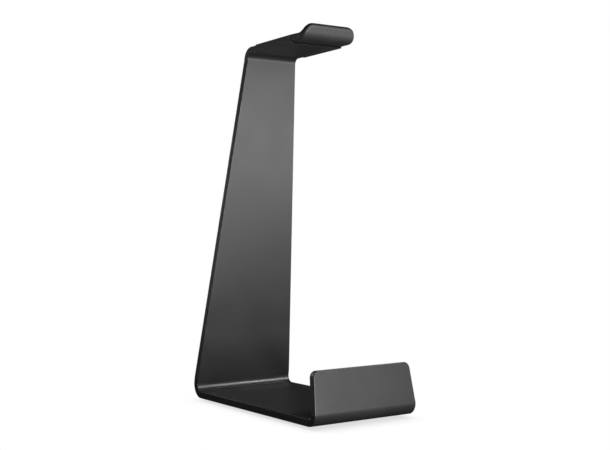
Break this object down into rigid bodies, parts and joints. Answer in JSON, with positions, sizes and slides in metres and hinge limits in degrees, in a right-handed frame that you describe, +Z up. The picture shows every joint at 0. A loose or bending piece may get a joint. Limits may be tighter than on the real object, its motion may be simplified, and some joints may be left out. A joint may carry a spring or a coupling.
{
  "type": "headphone stand",
  "caption": "Desk stand for headphones: a thick sheet bent into lip, base, leaning tapered upright and short arm, with a rubber saddle on the arm.",
  "frame": {"origin": "on the desk, under the middle of the base's box", "axes": "+Z up; -Y is the front, where the lip and the saddle's nose are; X runs across the stand"},
  "size_m": [0.08, 0.1574, 0.2595],
  "materials": {
    "coated_sheet": "smooth satin black powder coat on bent sheet",
    "saddle_rubber": "matt moulded black rubber",
    "foot_rubber": "matt black rubber",
    "foot_tape": "pale acrylic double-sided tape"
  },
  "bodies": {
    "root": {"bent_frame": "coated_sheet", "saddle": "saddle_rubber", "foot_front_left": "foot_rubber", "foot_front_right": "foot_rubber", "foot_rear_left": "foot_rubber", "foot_rear_right": "foot_rubber", "foot_tape_front_left": "foot_tape", "foot_tape_front_right": "foot_tape", "foot_tape_rear_left": "foot_tape", "foot_tape_rear_right": "foot_tape"}
  },
  "joints": []
}
